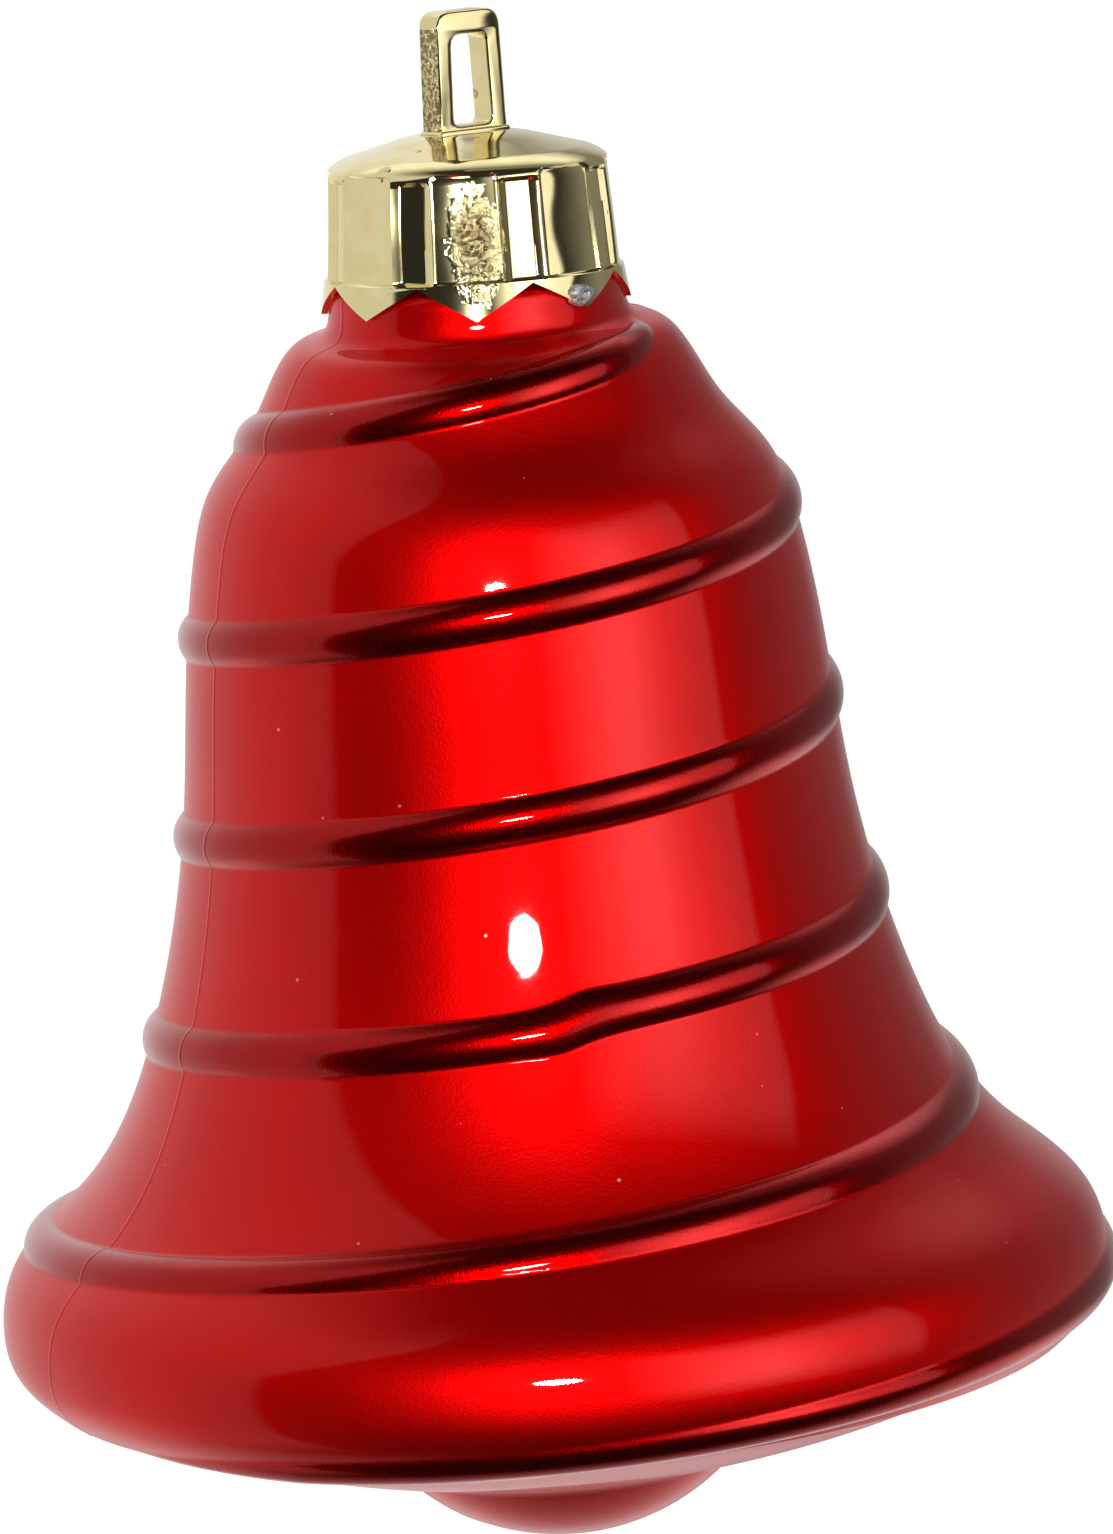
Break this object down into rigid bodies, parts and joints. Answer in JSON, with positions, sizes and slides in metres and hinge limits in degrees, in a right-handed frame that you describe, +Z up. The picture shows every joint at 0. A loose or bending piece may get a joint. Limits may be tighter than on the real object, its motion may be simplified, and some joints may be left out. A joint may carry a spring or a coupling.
{
  "type": "christmas bell ornament",
  "caption": "Hollow red moulded bell with a spiral bead, closed base and moulded clapper, hung from a gold toothed crown cap with a wire-like flat loop.",
  "frame": {"origin": "the hanging point: the middle of the underside of the loop's top bar, on the bell's axis", "axes": "+Z up along the bell's axis, -Y towards the bell's front; the loop stands turned 36 degrees about Z, its left leg nearer the front"},
  "size_m": [0.0669, 0.0664, 0.0922],
  "materials": {
    "bell": "candy red metallic lacquer under a clear gloss coat",
    "cap": "vacuum-metallised pale gold",
    "loop": "vacuum-metallised pale gold, sparkly on the broad faces"
  },
  "bodies": {
    "hanger": {"crown_cap": "cap", "hanger_loop": "loop"},
    "bell": {"bell_shell": "bell"}
  },
  "joints": [
    {"name": "bell_pull_off", "type": "slide", "parent": "hanger", "child": "bell", "axis": [0, 0, -1], "range_m": [0, 0.012]}
  ]
}
